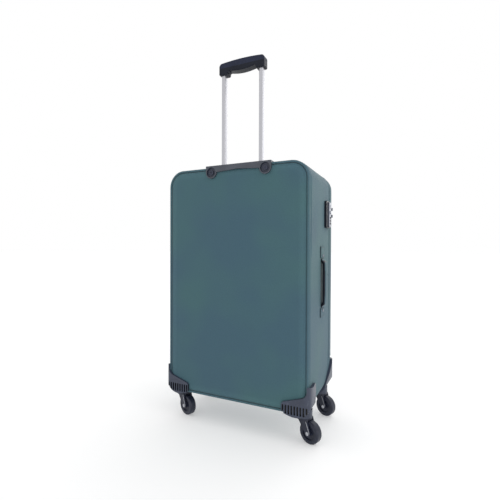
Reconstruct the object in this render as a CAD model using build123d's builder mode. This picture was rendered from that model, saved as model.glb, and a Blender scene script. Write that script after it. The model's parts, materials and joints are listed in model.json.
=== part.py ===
from build123d import *
import os
from math import cos, radians, sin

os.makedirs("parts", exist_ok=True)

# ---------------------------------------------------------------- driving dimensions, millimetres
# A fabric-covered case on four casters. While it is modelled, X runs across its back from the
# middle of the case, Y from the middle of its depth towards the lid, and Z is up from the floor.
case_width = 438.0
case_height = 665.0
case_depth = 265.0
ground_gap = 85.0        # floor to the case's underside
top_radius = 48.0
bottom_radius = 34.0
nose_radius = 44.0       # the underside turns up into the front over this radius
wall = 4.0               # board, foam and cloth together
welt = 6.0               # piped edge round the back and the lid
panel = 4.5              # thickness of the flat back and lid panels
body_depth = 229.5       # back welt to the zip
zip_gap = 6.0            # space that the closed zip fills
hinge_z = 172.0          # the lid's cloth hinge, across the front above the guards

side = case_width / 2
case_back = -case_depth / 2
case_front = case_depth / 2
case_top = ground_gap + case_height
case_middle = ground_gap + case_height / 2
body_front = case_back + body_depth
lid_back = body_front + zip_gap
zip_line = body_front + zip_gap / 2
panel_recess = 0.5       # the panels lie a little behind their welts

# The footprint's middle, which is the finished model's origin
footprint = (9.6, 0.0)

# Casters
wheel_radius = 30.0
wheel_width = 20.0
caster_x = side - 23.0
caster_y = case_front - 44.0
trail = 21.0             # wheel axle behind the swivel axis
caster_angle = -20.0     # the way all four casters point at rest, from +X
pin_radius = 4.0
axle_radius = 3.0
running = 0.06           # radial clearance of a turning fit

# Trolley, which stands a little to the right of the case's middle
trolley_x = 15.0
tube_x = 59.0
tube_y = case_back + 29.0
tube_size = (12.5, 16.0)
tube_wall = 1.2
slide_gap = 0.4
tube_bottom = 650.0
grip_width = 142.0
grip_depth = 26.0
grip_bottom = 1019.0
grip_top = 1056.0
tube_top = grip_bottom + 13.0


def write(part, name, middle=0.0):
    """Save a finished piece in the model's own frame, with its drawn middle at this X."""
    piece = part.moved(Location((middle - footprint[0], -footprint[1], 0)))
    piece.label = name
    export_step(piece, f"parts/{name}.step")


def upright(y):
    """A plane at depth y that faces the back: its x is X and its y is Z."""
    return Plane(origin=(0, y, 0), x_dir=(1, 0, 0), z_dir=(0, -1, 0))


def sideways(x):
    """A plane at x that faces +X: its x is Y and its y is Z."""
    return Plane(origin=(x, 0, 0), x_dir=(0, 1, 0), z_dir=(1, 0, 0))


def block(low, high):
    """A block between two corners."""
    with BuildPart() as made:
        with Locations(tuple((a + b) / 2 for a, b in zip(low, high))):
            Box(*[b - a for a, b in zip(low, high)])
    return made.part


def case_solid(start, end, inset):
    """The case's rounded solid between two depths, drawn in by inset all round."""
    low = ground_gap + inset
    with BuildPart() as made:
        with BuildSketch(upright(start)) as outline:
            with Locations((0, case_middle)):
                Rectangle(case_width - 2 * inset, case_height - 2 * inset)
            fillet(outline.vertices().group_by(Axis.Y)[0], bottom_radius - inset)
            fillet(outline.vertices().group_by(Axis.Y)[-1], top_radius - inset)
        extrude(amount=start - end)
        nose_y = case_front - nose_radius
        nose_z = ground_gap + nose_radius
        with BuildSketch(sideways(-case_width)):
            with BuildLine():
                Polyline(
                    (case_front - inset, nose_z),
                    (2 * case_front, nose_z),
                    (2 * case_front, 0),
                    (nose_y, 0),
                    (nose_y, low),
                )
                RadiusArc((nose_y, low), (case_front - inset, nose_z), -(nose_radius - inset))
            make_face()
        extrude(amount=2 * case_width, mode=Mode.SUBTRACT)
    return made.part


def shell(start, end, outer, inner):
    """A band of the case's wall between two depths and two insets."""
    with BuildPart() as made:
        add(case_solid(start, end, outer))
        add(case_solid(start - 1, end + 1, inner), mode=Mode.SUBTRACT)
    return made.part


below_hinge = block((-side - 1, case_back - 1, 0), (side + 1, case_front + 1, hinge_z))
above_hinge = block((-side - 1, case_back - 1, hinge_z + 0.4), (side + 1, case_front + 1, case_top + 1))

# ---------------------------------------------------------------- trolley bezel and its grip well
# A moulded tray let into the top. It wraps over the back edge in a thin arched strip between two
# lobes, each with a sunk pocket for its screw.
bezel_half = 101.0
bezel_proud = 6.0
bezel_rise = 4.0
bezel_front_y = -56.0
well_half = 75.0
well_depth = 33.0
well_floor = 716.0
well_wall = 2.5
lobe_x = 84.0
lobe_radius = 17.0
lobe_z = 735.5
strip_z = 740.0
lobe_pocket = 4.5
lobe_rim = 2.5
screw_radius = 7.0
screw_high = 3.0
well_back = tube_y - well_depth / 2
well_front = tube_y + well_depth / 2
bezel_top = case_top + bezel_rise

with BuildPart() as trolley_bezel:
    add(block((-bezel_half, case_back, case_top), (bezel_half, bezel_front_y, bezel_top)))
    fillet(trolley_bezel.edges().filter_by(Axis.Z).group_by(Axis.Y)[-1], 14)
    with BuildSketch(upright(case_back)):
        with BuildLine() as half_strip:
            Polyline((0, strip_z), (0, bezel_top), (lobe_x + lobe_radius, bezel_top))
            Line((lobe_x + lobe_radius, bezel_top), (lobe_x + lobe_radius, lobe_z))
            ThreePointArc(
                (lobe_x + lobe_radius, lobe_z), (lobe_x, lobe_z - lobe_radius), (lobe_x - lobe_radius, lobe_z)
            )
            Line((lobe_x - lobe_radius, lobe_z), (0, strip_z))
        make_face()
        mirror(about=Plane.YZ)
    extrude(amount=bezel_proud)
    with BuildSketch(upright(case_back - bezel_proud)):
        with Locations((-lobe_x, lobe_z), (lobe_x, lobe_z)):
            Circle(lobe_radius - lobe_rim)
    extrude(amount=-lobe_pocket, mode=Mode.SUBTRACT)
    add(
        block(
            (-well_half - well_wall, well_back - well_wall, well_floor - well_wall),
            (well_half + well_wall, well_front + well_wall, case_top),
        )
    )
    add(
        block((-well_half, well_back, well_floor), (well_half, well_front, bezel_top + 1)),
        mode=Mode.SUBTRACT,
    )
    with BuildSketch(Plane.XY.offset(well_floor - 2 * well_wall)):
        with Locations((-tube_x, tube_y), (tube_x, tube_y)):
            RectangleRounded(tube_size[0] + 2 * slide_gap, tube_size[1] + 2 * slide_gap, 3.9)
    extrude(amount=4 * well_wall, mode=Mode.SUBTRACT)
write(trolley_bezel.part, "trolley_bezel", trolley_x)

with BuildPart() as bezel_screws:
    with BuildSketch(upright(case_back - bezel_proud + lobe_pocket)):
        with Locations((-lobe_x, lobe_z), (lobe_x, lobe_z)):
            Circle(screw_radius)
    extrude(amount=screw_high)
    fillet(bezel_screws.edges().group_by(Axis.Y)[0], 1.2)
    with BuildSketch(upright(case_back - bezel_proud + lobe_pocket - screw_high)):
        with Locations((-lobe_x, lobe_z), (lobe_x, lobe_z)):
            Rectangle(7.0, 1.6)
            Rectangle(1.6, 7.0)
    extrude(amount=-1.4, mode=Mode.SUBTRACT)
write(bezel_screws.part, "bezel_screws", trolley_x)

# ---------------------------------------------------------------- lock, on the +X side by the zip
# Three number wheels, a release button and a key cylinder behind a plated cover.
lock_y = (33.0, 84.0)
lock_z = (580.0, 660.0)
cover_y = (54.0, 83.0)
column_y = 68.0          # the middle of the number wheels, the button and the key
housing_thick = 7.0
cover_thick = 4.0
lock_box_in = 6.0
dial_radius = 7.5
dial_width = 5.0
dial_axis_x = side + 4.6
dial_levels = (594.0, 602.5, 611.0)
dial_names = ("dial_low", "dial_middle", "dial_high")
button_z = 627.0
button_size = (12.0, 9.0)
button_travel = 1.6
key_z = 645.0
key_radius = 6.0
housing_face = side + housing_thick
cover_face = housing_face + cover_thick
lock_box = ((side - lock_box_in, lock_y[0] + 9, lock_z[0] + 6), (side, lock_y[1] - 4, lock_z[1] - 6))

with BuildPart() as lock_housing:
    with BuildSketch(sideways(side)):
        with Locations((sum(lock_y) / 2, sum(lock_z) / 2)):
            RectangleRounded(lock_y[1] - lock_y[0], lock_z[1] - lock_z[0], 6)
    extrude(amount=housing_thick)
    add(block(*lock_box))
    for level in dial_levels:
        with BuildSketch(Plane.XY.offset(level - dial_width / 2 - 0.4)):
            with Locations((dial_axis_x, column_y)):
                Circle(dial_radius + 0.5)
        extrude(amount=dial_width + 0.8, mode=Mode.SUBTRACT)
    with BuildSketch(Plane.XY.offset(dial_levels[0] - dial_width)):
        with Locations((dial_axis_x, column_y)):
            Circle(1.5)
    extrude(amount=dial_levels[-1] - dial_levels[0] + 2 * dial_width)
    with BuildSketch(sideways(side - 2)):
        with Locations((column_y, button_z)):
            Rectangle(button_size[0] + 0.8, button_size[1] + 0.8)
        with Locations((column_y, key_z)):
            Circle(key_radius + 0.3)
    extrude(amount=housing_thick + 3, mode=Mode.SUBTRACT)
write(lock_housing.part, "lock_housing")

with BuildPart() as lock_cover:
    with BuildSketch(sideways(housing_face)):
        with Locations((sum(cover_y) / 2, sum(lock_z) / 2)):
            RectangleRounded(cover_y[1] - cover_y[0], lock_z[1] - lock_z[0] - 4, 5)
        with Locations([(column_y, level) for level in dial_levels]):
            Rectangle(2 * dial_radius + 0.8, dial_width + 0.8, mode=Mode.SUBTRACT)
        with Locations((column_y, button_z)):
            Rectangle(button_size[0] + 0.8, button_size[1] + 0.8, mode=Mode.SUBTRACT)
        with Locations((column_y, key_z)):
            Circle(key_radius + 0.3, mode=Mode.SUBTRACT)
    extrude(amount=cover_thick)
    chamfer(lock_cover.faces().sort_by(Axis.X)[-1].outer_wire().edges(), 1.5)
write(lock_cover.part, "lock_cover")

for name, level in zip(dial_names, dial_levels):
    with BuildPart() as dial:
        with BuildSketch(Plane.XY.offset(level - dial_width / 2)):
            with Locations((dial_axis_x, column_y)):
                Circle(dial_radius)
                Circle(1.7, mode=Mode.SUBTRACT)
            with Locations(Location((dial_axis_x, column_y))):
                with PolarLocations(dial_radius, 20):
                    Circle(0.5, mode=Mode.SUBTRACT)
        extrude(amount=dial_width)
    write(dial.part, name)

with BuildPart() as lock_button:
    with BuildSketch(sideways(side)):
        with Locations((column_y, button_z)):
            RectangleRounded(*button_size, 2)
    extrude(amount=cover_face - side + button_travel)
    fillet(lock_button.faces().sort_by(Axis.X)[-1].edges(), 0.8)
write(lock_button.part, "lock_button")

with BuildPart() as key_cylinder:
    with BuildSketch(sideways(side - 2)):
        with Locations((column_y, key_z)):
            Circle(key_radius)
    extrude(amount=cover_face - side + 2.4)
    with BuildSketch(sideways(cover_face + 0.4)):
        with Locations((column_y, key_z)):
            Rectangle(1.4, 7)
    extrude(amount=-4, mode=Mode.SUBTRACT)
write(key_cylinder.part, "key_cylinder")

# ---------------------------------------------------------------- the fabric-covered body
with BuildPart() as gusset:
    add(shell(case_back + welt, body_front, 0, wall))
    add(
        block(
            (trolley_x - well_half - well_wall, well_back - well_wall, case_top - 2 * wall),
            (trolley_x + well_half + well_wall, well_front + well_wall, case_top + 1),
        ),
        mode=Mode.SUBTRACT,
    )
    add(block(*lock_box), mode=Mode.SUBTRACT)
write(gusset.part, "gusset")

with BuildPart() as back_panel:
    add(case_solid(case_back + panel_recess, case_back + panel_recess + panel, welt))
write(back_panel.part, "back_panel")

with BuildPart() as back_welt:
    add(shell(case_back, case_back + welt, 0, welt))
    fillet(back_welt.faces().sort_by(Axis.Y)[0].edges(), 2.6)
write(back_welt.part, "back_welt")

# The front below the lid's hinge is closed, and carries the front guards.
with BuildPart() as lower_front:
    add(case_solid(body_front, case_front, 0))
    add(case_solid(body_front - 1, case_front - wall, wall), mode=Mode.SUBTRACT)
    add(below_hinge, mode=Mode.INTERSECT)
write(lower_front.part, "lower_front")

# A cloth tape inside the front is the lid's hinge.
with BuildPart() as hinge_tape:
    add(block((-165, case_front - wall - 1.6, hinge_z - 24), (165, case_front - wall, hinge_z - 0.4)))
write(hinge_tape.part, "hinge_tape")

# ---------------------------------------------------------------- zip, up each side and over the top
half_zip = zip_gap / 2 - 0.1
zip_start = block((-side - 1, body_front - 1, hinge_z + 8), (side + 1, lid_back + 1, case_top + 1))

with BuildPart() as zip_tape_body:
    add(shell(body_front, body_front + half_zip, 0.4, 3.4))
    add(zip_start, mode=Mode.INTERSECT)
write(zip_tape_body.part, "zip_tape_body")

with BuildPart() as zip_tape_lid:
    add(shell(lid_back - half_zip, lid_back, 0.4, 3.4))
    add(zip_start, mode=Mode.INTERSECT)
write(zip_tape_lid.part, "zip_tape_lid")

# Two sliders meet beside the lock, with their pulls lying towards it.
slider_levels = (618.0, 639.0)
slider_names = ("zip_slider_lower", "zip_slider_upper")
slider_x = side + 0.3
pull_wide = 9.0
pull_proud = 13.0
pull_end_y = 87.0
for name, level in zip(slider_names, slider_levels):
    with BuildPart() as zip_slider:
        with BuildSketch(sideways(slider_x)):
            with Locations((zip_line, level)):
                RectangleRounded(10, 14, 3)
        extrude(amount=3.0)
        with BuildSketch(sideways(slider_x + 3.0)):
            with Locations((zip_line, level)):
                RectangleRounded(5, 9, 2)
        extrude(amount=2.2)
        with BuildSketch(Plane.XY.offset(level - pull_wide / 2)):
            with BuildLine():
                Polyline(
                    (slider_x + 3.6, zip_line + 2),
                    (slider_x + 5.4, zip_line + 2),
                    (slider_x + pull_proud, pull_end_y + 1),
                    (slider_x + pull_proud - 1.2, pull_end_y),
                    close=True,
                )
            make_face()
        extrude(amount=pull_wide)
    write(zip_slider.part, name)

# ---------------------------------------------------------------- lid
lid_face = case_front - panel_recess
with BuildPart() as lid_gusset:
    add(shell(lid_back, case_front - welt, 0, wall))
    add(above_hinge, mode=Mode.INTERSECT)
write(lid_gusset.part, "lid_gusset")

with BuildPart() as lid_panel:
    add(case_solid(lid_face - panel, lid_face, welt))
    add(above_hinge, mode=Mode.INTERSECT)
write(lid_panel.part, "lid_panel")

with BuildPart() as lid_welt:
    add(shell(case_front - welt, case_front, 0, welt))
    fillet(lid_welt.faces().sort_by(Axis.Y)[-1].edges(), 2.6)
    add(above_hinge, mode=Mode.INTERSECT)
write(lid_welt.part, "lid_welt")

# The lid's pocket: a shallow cloth bag under a straight zip.
pocket_half = 172.0
pocket_low = 205.0
pocket_high = 500.0
pocket_proud = 6.0
pocket_zip_z = pocket_high + 9.0
pocket_zip_half = 160.0
pocket_slider_x = -138.0

with BuildPart() as front_pocket:
    with BuildSketch(upright(lid_face)):
        with Locations((0, (pocket_low + pocket_high) / 2)):
            RectangleRounded(2 * pocket_half, pocket_high - pocket_low, 26)
    extrude(amount=-pocket_proud)
    fillet(front_pocket.faces().sort_by(Axis.Y)[-1].edges(), 4)
write(front_pocket.part, "front_pocket")

with BuildPart() as pocket_zip:
    with BuildSketch(upright(lid_face)):
        with Locations((0, pocket_zip_z)):
            SlotOverall(2 * pocket_zip_half, 15)
    extrude(amount=-1.6)
write(pocket_zip.part, "pocket_zip")

with BuildPart() as pocket_slider:
    with BuildSketch(upright(lid_face + 1.9)):
        with Locations((pocket_slider_x, pocket_zip_z)):
            RectangleRounded(12, 8, 2)
    extrude(amount=-2.2)
    with BuildSketch(upright(lid_face + 4.1)):
        with Locations((pocket_slider_x + 8, pocket_zip_z)):
            SlotOverall(27, 7)
    extrude(amount=-1.8)
write(pocket_slider.part, "pocket_slider")

with BuildPart() as lid_net:
    add(block((-170, lid_face - panel - 1.6, 200), (170, lid_face - panel, 480)))
write(lid_net.part, "lid_net")

# ---------------------------------------------------------------- corner guards
# Each guard is one moulding: a plate across the end, a wing that thins along the side, a floor
# below and the caster's seat. The back plates are slotted.
guard_proud = 8.0
plate_proud = 6.0
guard_inner_x = 147.0
back_reach = 60.0        # a guard's wing ends this far from the middle of the depth
front_reach = 34.0
guard_top = 164.0
plate_low = 106.0
plate_high = 132.0
seat_low = 67.0
seat_radius = 22.0
slot_pitch = 8.1
slot_count = 9
slot_first_x = 151.5
slot_z = 97.0
slot_depth = 5.2
guard_face = case_back - plate_proud


def guard_blank(reach):
    """Back right guard before its wing is cut: the case's corner, thickened outside."""
    with BuildPart() as made:
        add(case_solid(guard_face, -reach, -guard_proud))
        fillet(made.faces().sort_by(Axis.Y)[0].edges().sort_by(Axis.Z)[:-1], 5)
        with BuildSketch(Plane.XY.offset(0)):
            with BuildLine():
                Polyline(
                    (side + 2.4, -reach),
                    (guard_inner_x, -reach),
                    (guard_inner_x, guard_face),
                    (side - 8, guard_face),
                )
                Spline(
                    (side - 8, guard_face),
                    (side + guard_proud, case_back + 18),
                    (side + 2.4, -reach),
                    tangents=((1, 0), (-0.12, 1)),
                )
            make_face()
        extrude(amount=guard_top + 6, mode=Mode.INTERSECT)
    return made.part


def caster_seat(made_at_y):
    """The round boss under a guard that the caster's pin turns in."""
    with BuildPart() as made:
        with BuildSketch(Plane.XY.offset(seat_low)):
            with Locations((caster_x, made_at_y)):
                Circle(seat_radius)
        extrude(amount=ground_gap - seat_low + 2)
    return made.part


case_hollow = case_solid(case_back, case_front, -0.1)

with BuildPart() as back_guard:
    add(guard_blank(back_reach))
    with BuildSketch(upright(guard_face - 1)):
        with BuildLine():
            Polyline((guard_inner_x, 91), (guard_inner_x, plate_low))
            RadiusArc((guard_inner_x, plate_low), (guard_inner_x + 10, plate_low + 11), 11)
            Line((guard_inner_x + 10, plate_low + 11), (204, plate_high))
            RadiusArc((204, plate_high), (216, guard_top - 6), -22)
            Polyline(
                (216, guard_top - 6),
                (219, guard_top),
                (side + 20, guard_top),
                (side + 20, 60),
                (guard_inner_x + 34, 60),
                (guard_inner_x + 34, ground_gap - guard_proud),
                (guard_inner_x + 8, 85),
                (guard_inner_x, 91),
            )
        make_face()
    extrude(amount=guard_face - 1 + back_reach, mode=Mode.INTERSECT)
    with BuildSketch(sideways(guard_inner_x - 1)):
        with BuildLine():
            Polyline((guard_face - 1, 60), (guard_face - 1, guard_top - 1))
            Spline(
                (guard_face - 1, guard_top - 1),
                (-110, guard_top - 7),
                (-82, guard_top - 7),
                (-64, 132),
                (-72, 108),
                (-82, 92),
                tangents=((1, -0.25), (-0.4, -1)),
            )
            Polyline((-82, 92), (-62, 82), (-62, 60), (guard_face - 1, 60))
        make_face()
    extrude(amount=side + 30 - guard_inner_x, mode=Mode.INTERSECT)
    add(caster_seat(-caster_y))
    add(case_hollow, mode=Mode.SUBTRACT)
    with BuildSketch(upright(guard_face)):
        with Locations([(slot_first_x + slot_pitch * i, slot_z) for i in range(slot_count)]):
            SlotOverall(24, 4.6, rotation=90)
    extrude(amount=-slot_depth, mode=Mode.SUBTRACT)
    with BuildSketch(Plane.XY.offset(seat_low)):
        with Locations((caster_x, -caster_y)):
            Circle(pin_radius)
    extrude(amount=14, mode=Mode.SUBTRACT)

with BuildPart() as front_guard:
    add(guard_blank(front_reach))
    with BuildSketch(sideways(guard_inner_x - 1)):
        with BuildLine():
            Polyline((guard_face - 1, 70), (guard_face - 1, guard_top), (-120, guard_top))
            Spline((-120, guard_top), (-103, 144), (-68, 122), (-40, 98), tangents=((0.3, -1), (0.7, -1)))
            Polyline((-40, 98), (-34, 70), (guard_face - 1, 70))
        make_face()
    extrude(amount=side + 30 - guard_inner_x, mode=Mode.INTERSECT)
    with BuildSketch(upright(guard_face - 1)):
        with BuildLine():
            Polyline((guard_inner_x, 60), (guard_inner_x, 118))
            Spline((guard_inner_x, 118), (190, 132), (207, guard_top), tangents=((0.3, 1), (0.2, 1)))
            Polyline((207, guard_top), (side + 20, guard_top), (side + 20, 60), (guard_inner_x, 60))
        make_face()
    extrude(amount=guard_face - 1 + front_reach, mode=Mode.INTERSECT)
front_right = front_guard.part.mirror(Plane.XZ)

with BuildPart() as front_right_guard:
    add(front_right)
    add(case_solid(0, case_front + plate_proud, -guard_proud), mode=Mode.INTERSECT)
    add(caster_seat(caster_y))
    add(case_hollow, mode=Mode.SUBTRACT)
    with BuildSketch(Plane.XY.offset(seat_low)):
        with Locations((caster_x, caster_y)):
            Circle(pin_radius)
    extrude(amount=14, mode=Mode.SUBTRACT)

for end, guard_part in (("back", back_guard.part), ("front", front_right_guard.part)):
    write(guard_part, f"guard_{end}_right")
    write(guard_part.mirror(Plane.YZ), f"guard_{end}_left")

# ---------------------------------------------------------------- casters
trail_way = (cos(radians(caster_angle)), sin(radians(caster_angle)), 0)
axle_way = (sin(radians(caster_angle)), -cos(radians(caster_angle)), 0)
arm_thick = 4.0
arm_gap = 1.0
arm_face = wheel_width / 2 + arm_gap
fork_top = seat_low - 0.4
fork_plate = 5.0
cap_radius = 21.0
hub_radius = 22.0


def caster(x, y):
    """Fork, axle and wheel of the caster whose swivel axis stands at x, y."""

    def across(offset):
        origin = (x + offset * axle_way[0], y + offset * axle_way[1], 0)
        return Plane(origin=origin, x_dir=trail_way, z_dir=axle_way)

    with BuildPart() as fork:
        with BuildSketch(Plane.XY.offset(fork_top - fork_plate)):
            with Locations((x, y)):
                Circle(cap_radius)
        extrude(amount=fork_plate)
        with BuildSketch(Plane.XY.offset(fork_top)):
            with Locations((x, y)):
                Circle(pin_radius - running)
        extrude(amount=12)
        for face in (-arm_face, arm_face + arm_thick):
            with BuildSketch(across(face)):
                with BuildLine():
                    Polyline((-14, fork_top), (18, fork_top), (trail + 9, wheel_radius))
                    ThreePointArc(
                        (trail + 9, wheel_radius), (trail, wheel_radius - 9), (trail - 9, wheel_radius)
                    )
                    Line((trail - 9, wheel_radius), (-14, fork_top))
                make_face()
            extrude(amount=-arm_thick)
        with BuildSketch(across(0)):
            with Locations((trail, wheel_radius)):
                Circle(axle_radius)
        extrude(amount=arm_face + arm_thick, both=True, mode=Mode.SUBTRACT)

    with BuildPart() as axle:
        with BuildSketch(across(0)):
            with Locations((trail, wheel_radius)):
                Circle(axle_radius)
        extrude(amount=arm_face + arm_thick, both=True)
        for face, way in ((arm_face + arm_thick, 1), (-arm_face - arm_thick, -1)):
            with BuildSketch(across(face)):
                with Locations((trail, wheel_radius)):
                    Circle(4.6)
            extrude(amount=1.4 * way)
            with BuildSketch(across(face + 1.4 * way)):
                with Locations((trail, wheel_radius)):
                    Circle(2.4)
            extrude(amount=-1.1 * way, mode=Mode.SUBTRACT)

    with BuildPart() as wheel:
        with BuildSketch(across(0)):
            with Locations((trail, wheel_radius)):
                Circle(hub_radius)
                Circle(axle_radius + running, mode=Mode.SUBTRACT)
        extrude(amount=wheel_width / 2 - 0.5, both=True)
        for face, way in ((wheel_width / 2 - 0.5, -1), (0.5 - wheel_width / 2, 1)):
            with BuildSketch(across(face)):
                with Locations((trail, wheel_radius)):
                    Circle(hub_radius - 3)
                    Circle(8, mode=Mode.SUBTRACT)
            extrude(amount=3.5 * way, mode=Mode.SUBTRACT)

    with BuildPart() as tyre:
        with BuildSketch(across(0)):
            with Locations((trail, wheel_radius)):
                Circle(wheel_radius)
        extrude(amount=wheel_width / 2, both=True)
        fillet(tyre.edges(), 4)
        with BuildSketch(across(0)):
            with Locations((trail, wheel_radius)):
                Circle(hub_radius)
        extrude(amount=wheel_width, both=True, mode=Mode.SUBTRACT)

    rolling = Compound([wheel.part.solid(), tyre.part.solid()])
    return {"fork": fork.part, "axle": axle.part, "wheel": rolling}


for end, y in (("back", -caster_y), ("front", caster_y)):
    for flank, x in (("left", -caster_x), ("right", caster_x)):
        for kind, piece in caster(x, y).items():
            write(piece, f"{kind}_{end}_{flank}")

# ---------------------------------------------------------------- trolley
outer_size = (tube_size[0] + 2 * slide_gap + 2 * tube_wall, tube_size[1] + 2 * slide_gap + 2 * tube_wall)
foot_low = ground_gap + 2 * wall
tube_places = ((-tube_x, tube_y), (tube_x, tube_y))


def tube_pair(low, high, size, radius):
    """Two upright rectangular tubes with rounded corners."""
    with BuildPart() as made:
        with BuildSketch(Plane.XY.offset(low)):
            with Locations(*tube_places):
                RectangleRounded(*size, radius)
                RectangleRounded(size[0] - 2 * tube_wall, size[1] - 2 * tube_wall, radius - 1, mode=Mode.SUBTRACT)
        extrude(amount=high - low)
    return made.part


write(tube_pair(foot_low + 4, well_floor - well_wall, outer_size, 5), "outer_tubes", trolley_x)
write(tube_pair(tube_bottom, tube_top, tube_size, 3.5), "inner_tubes", trolley_x)

# A moulded foot on the base board holds the outer tubes.
with BuildPart() as trolley_foot:
    add(block((-80, tube_y - 14, foot_low), (80, tube_y + 14, foot_low + 14)))
    with BuildSketch(Plane.XY.offset(foot_low + 4)):
        with Locations(*tube_places):
            RectangleRounded(*outer_size, 5)
    extrude(amount=20, mode=Mode.SUBTRACT)
write(trolley_foot.part, "trolley_foot", trolley_x)

with BuildPart() as base_board:
    add(block((-178, case_back + welt + 2, ground_gap + wall), (178, body_front - 14, foot_low)))
write(base_board.part, "base_board")

# A lining hump covers the tubes inside the compartment.
hump_front = tube_y + 18.0
with BuildPart() as tube_cover:
    add(block((-88, case_back + panel + 1, foot_low), (88, hump_front, well_floor - 3 * well_wall)))
    add(
        block((-85, case_back + panel, foot_low - 1), (85, hump_front - 2.5, well_floor)),
        mode=Mode.SUBTRACT,
    )
write(tube_cover.part, "tube_cover", trolley_x)

# Plugs close the inner tubes' lower ends, and hold the latch.
with BuildPart() as latch_plugs:
    with BuildSketch(Plane.XY.offset(tube_bottom - 18)):
        with Locations(*tube_places):
            RectangleRounded(*tube_size, 3.5)
    extrude(amount=18)
    with BuildSketch(Plane.XY.offset(tube_bottom)):
        with Locations(*tube_places):
            RectangleRounded(tube_size[0] - 2 * tube_wall, tube_size[1] - 2 * tube_wall, 2.5)
    extrude(amount=8)
write(latch_plugs.part, "latch_plugs", trolley_x)

cavity_floor = tube_top
cavity_top = grip_bottom + 29.0
cavity_half = 64.0
grip_split = grip_bottom + 19.0
socket_in = 44.0         # the two sockets stand below the grip's belly outside this
press = 4.0
button_half = (15.4, 6.4)
grip_round = 3.0

with BuildPart() as grip:
    with BuildSketch(upright(tube_y - grip_depth / 2)) as grip_outline:
        with BuildLine():
            Polyline(
                (-grip_width / 2, grip_top - 4),
                (-grip_width / 2, grip_bottom),
                (-socket_in, grip_bottom),
                (-socket_in, grip_bottom + 11),
            )
            ThreePointArc((-socket_in, grip_bottom + 11), (0, grip_bottom + 5), (socket_in, grip_bottom + 11))
            Polyline(
                (socket_in, grip_bottom + 11),
                (socket_in, grip_bottom),
                (grip_width / 2, grip_bottom),
                (grip_width / 2, grip_top - 4),
            )
            ThreePointArc((grip_width / 2, grip_top - 4), (0, grip_top), (-grip_width / 2, grip_top - 4))
        make_face()
        fillet(grip_outline.vertices().group_by(Axis.Y)[0], 4)
        fillet(grip_outline.vertices().group_by(Axis.Y)[-1], 10)
        fillet(grip_outline.vertices().filter_by_position(Axis.Y, grip_bottom + 10.5, grip_bottom + 11.5), 4)
    extrude(amount=-grip_depth)
    fillet(grip.edges().group_by(Axis.Y)[0] + grip.edges().group_by(Axis.Y)[-1], grip_round)
    add(
        block((-cavity_half, tube_y - 8.5, cavity_floor), (cavity_half, tube_y + 8.5, cavity_top)),
        mode=Mode.SUBTRACT,
    )
    add(
        block((-16, tube_y - 7, cavity_top - 1), (16, tube_y + 7, grip_top + 1)),
        mode=Mode.SUBTRACT,
    )
    with BuildSketch(Plane.XY.offset(grip_bottom - 1)):
        with Locations(*tube_places):
            RectangleRounded(*tube_size, 3.5)
    extrude(amount=tube_top - grip_bottom + 1, mode=Mode.SUBTRACT)

for name, low, high in (("grip_body", 0, grip_split), ("grip_cover", grip_split, 2 * grip_top)):
    with BuildPart() as half_grip:
        add(grip.part)
        add(block((-100, tube_y - 20, low), (100, tube_y + 20, high)), mode=Mode.INTERSECT)
    write(half_grip.part, name, trolley_x)

with BuildPart() as grip_button:
    add(
        block(
            (-button_half[0], tube_y - button_half[1], cavity_top - 5),
            (button_half[0], tube_y + button_half[1], grip_top + 3),
        )
    )
    fillet(grip_button.faces().sort_by(Axis.Z)[-1].edges(), 2)
    add(block((-20, tube_y - 7.8, cavity_top - 5), (20, tube_y + 7.8, cavity_top - 0.4)))
write(grip_button.part, "grip_button", trolley_x)

# A yoke under the button works a rod down each tube.
yoke_top = cavity_top - 5
with BuildPart() as push_rods:
    add(block((1.5 - cavity_half, tube_y - 4, yoke_top - 4), (cavity_half - 1.5, tube_y + 4, yoke_top)))
    with BuildSketch(Plane.XY.offset(tube_bottom + 14)):
        with Locations(*tube_places):
            Circle(2.5)
    extrude(amount=yoke_top - 4 - tube_bottom - 14)
write(push_rods.part, "push_rods", trolley_x)

# The button's wave spring, at its pressed height.
with BuildPart() as button_spring:
    with BuildSketch(Plane.XY.offset(cavity_floor)):
        with Locations((-20, tube_y), (20, tube_y)):
            Circle(5)
            Circle(3.5, mode=Mode.SUBTRACT)
    extrude(amount=yoke_top - 4 - press - cavity_floor - 0.3)
write(button_spring.part, "button_spring", trolley_x)


# ---------------------------------------------------------------- carrying handles
def strap(plane, half_length, rise, width, thick):
    """A raised bar between two flat feet: drawn on its plane, and extruded to its width."""
    foot = half_length + 6.0
    with BuildPart() as made:
        with BuildSketch(plane):
            Polygon(
                (-foot, 0.3),
                (-half_length + 2, 0.3),
                (-half_length + 11, rise - thick),
                (half_length - 11, rise - thick),
                (half_length - 2, 0.3),
                (foot, 0.3),
                (foot, 3.3),
                (half_length, 4.3),
                (half_length - 7, rise),
                (-half_length + 7, rise),
                (-half_length, 4.3),
                (-foot, 3.3),
                align=None,
            )
        extrude(amount=width)
    return made.part


handle_y = 6.0
handle_half = 66.0
handle_z = 418.0
handle_wide = 32.0
handle_rise = 13.5
handle_thick = 7.5
side_handle_plane = Plane(
    origin=(side, handle_y - handle_wide / 2, handle_z), x_dir=(0, 0, 1), z_dir=(0, 1, 0)
)
write(strap(side_handle_plane, handle_half, handle_rise, handle_wide, handle_thick), "side_handle")

top_handle_y = 20.0
top_handle_half = 95.0
top_handle_rise = 20.0
top_handle_thick = 8.5
top_handle_plane = Plane(
    origin=(0, top_handle_y + handle_wide / 2, case_top), x_dir=(1, 0, 0), z_dir=(0, -1, 0)
)
write(strap(top_handle_plane, top_handle_half, top_handle_rise, handle_wide, top_handle_thick), "top_handle")

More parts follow.
